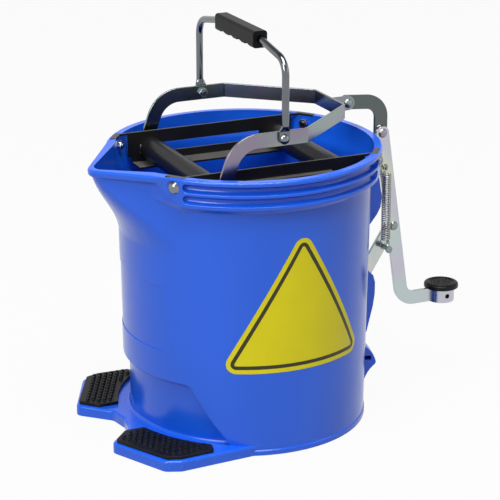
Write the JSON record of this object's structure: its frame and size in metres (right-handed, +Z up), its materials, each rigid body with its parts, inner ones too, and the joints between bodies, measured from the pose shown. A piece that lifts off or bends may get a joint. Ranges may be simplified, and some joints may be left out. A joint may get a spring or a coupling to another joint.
{
  "type": "mop bucket with wringer",
  "caption": "Round plastic mop bucket with pouring spout and foot rests, a roller wringer drawn shut by a sprung foot pedal, and a folding carrying handle.",
  "frame": {"origin": "on the bucket's axis, at the floor", "axes": "+Z up, +X towards the pedal, spout and foot rests towards -X, rollers along Y"},
  "size_m": [0.4642, 0.31, 0.458],
  "materials": {
    "shell_blue": "moulded, satin gloss",
    "black_rubber": "matt",
    "black_paint": "semi-gloss black",
    "roller_black": "satin",
    "nylon": "matt",
    "zinc": "bright zinc plate",
    "chrome": "bright plate",
    "spring_wire": "drawn wire",
    "grip_black": "satin"
  },
  "bodies": {
    "bucket": {"bucket_shell": "shell_blue", "foot_pad_left": "black_rubber", "foot_pad_right": "black_rubber", "side_plate_left": "black_paint", "side_plate_right": "black_paint", "frame_bolts": "chrome", "frame_nuts": "zinc", "rear_axle": "zinc", "rear_axle_clips": "zinc", "link_pivot_bolt": "chrome", "link_pivot_nut": "zinc", "spring_anchor": "zinc", "return_spring": "spring_wire"},
    "yoke": {"wringer_yoke": "zinc", "pull_lug": "zinc", "front_axle": "zinc", "front_axle_nuts": "zinc", "slide_blocks": "nylon", "pull_link_bolt": "chrome", "pull_link_nut": "zinc", "handle_bolts": "chrome", "handle_nuts": "zinc"},
    "pull_link": {"pull_link": "zinc"},
    "swing_link": {"swing_link": "zinc", "spring_stud": "zinc"},
    "pedal": {"pedal_lever": "zinc", "pedal_pad": "black_rubber", "pull_link_rivet": "chrome", "pedal_pivot_bolt": "chrome", "pedal_pivot_nut": "zinc"},
    "front_roller": {"front_roller": "roller_black", "front_roller_bushes": "nylon"},
    "rear_roller": {"rear_roller": "roller_black", "rear_roller_bushes": "nylon"},
    "handle": {"carry_handle": "chrome", "handle_grip": "grip_black"}
  },
  "joints": [
    {"name": "yoke_slide", "type": "slide", "parent": "bucket", "child": "yoke", "axis": [1, 0, 0], "range_m": [0, 0.095], "stiffness_N_per_m": 21, "springref_m": -0.14},
    {"name": "pull_link_turn", "type": "hinge", "parent": "yoke", "child": "pull_link", "pos_m": [0.1284, 0, 0.352], "axis": [0, 1, 0], "range_deg": [0, 32.1]},
    {"name": "swing_link_turn", "type": "hinge", "parent": "bucket", "child": "swing_link", "pos_m": [0.15143, 0, 0.13444], "axis": [0, 1, 0], "range_deg": [0, 17.1], "deforming": ["return_spring"]},
    {"name": "pedal_turn", "type": "hinge", "parent": "swing_link", "child": "pedal", "pos_m": [0.19065, 0, 0.1972], "axis": [0, 1, 0], "range_deg": [0, 8]},
    {"name": "front_roller_spin", "type": "hinge", "parent": "yoke", "child": "front_roller", "pos_m": [-0.0758, 0, 0.2985], "axis": [0, 1, 0], "continuous": true},
    {"name": "rear_roller_spin", "type": "hinge", "parent": "bucket", "child": "rear_roller", "pos_m": [0.08, 0, 0.2985], "axis": [0, 1, 0], "continuous": true},
    {"name": "handle_fold", "type": "hinge", "parent": "yoke", "child": "handle", "pos_m": [-0.004, 0, 0.353], "axis": [0, 1, 0], "range_deg": [-90, 75]}
  ],
  "couplings": [
    {"joint": "pull_link_turn", "follows": "yoke_slide", "rad_per_m": 5.879},
    {"joint": "swing_link_turn", "follows": "yoke_slide", "rad_per_m": 3.1356},
    {"joint": "pedal_turn", "follows": "yoke_slide", "rad_per_m": 1.4656}
  ]
}
